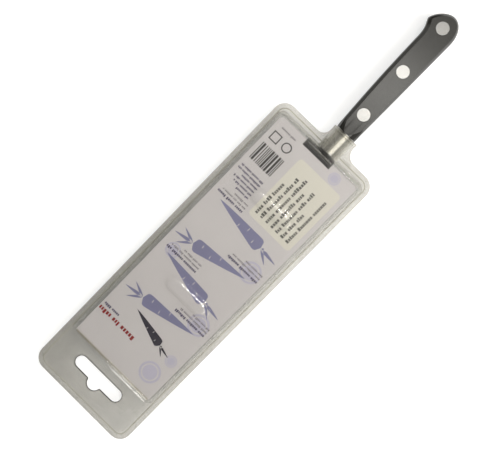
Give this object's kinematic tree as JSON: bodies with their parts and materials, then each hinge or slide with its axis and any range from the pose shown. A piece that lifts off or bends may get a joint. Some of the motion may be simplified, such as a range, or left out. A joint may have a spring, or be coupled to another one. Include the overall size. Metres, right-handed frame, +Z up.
{
  "type": "paring knife in clear hanging pack",
  "caption": "Small kitchen knife with a riveted dark handle, its blade held behind a printed card in a clear welded hanging pack, handle sticking out.",
  "frame": {"origin": "on the surface that the pack lies on, under the middle of the whole object", "axes": "+X from the hang tab to the butt of the handle, +Y towards the cutting edge, +Z up, out of the pack's back with the printed card"},
  "size_m": [0.2802, 0.0654, 0.014],
  "materials": {
    "satin_steel": "satin ground steel",
    "handle_plastic": "satin moulded plastic",
    "rivet_metal": "flush polished heads",
    "clear_sheet": "clear formed sheet",
    "printed_card": "printed card",
    "label_paper": "cream paper sticker"
  },
  "bodies": {
    "front_half": {"pack_front_shell": "clear_sheet"},
    "knife": {"blade": "satin_steel", "handle_scale_back": "handle_plastic", "handle_scale_front": "handle_plastic", "rivet_stud_1": "rivet_metal", "rivet_stud_2": "rivet_metal", "rivet_stud_3": "rivet_metal", "rivet_cap_1": "rivet_metal", "rivet_cap_2": "rivet_metal", "rivet_cap_3": "rivet_metal"},
    "back_half": {"pack_back_shell": "clear_sheet", "insert_card": "printed_card", "label": "label_paper"}
  },
  "joints": [
    {"name": "knife_lift", "type": "slide", "parent": "front_half", "child": "knife", "axis": [0, 0, 1], "range_m": [0, 0.06]},
    {"name": "back_lift", "type": "slide", "parent": "knife", "child": "back_half", "axis": [0, 0, 1], "range_m": [0, 0.06]}
  ]
}
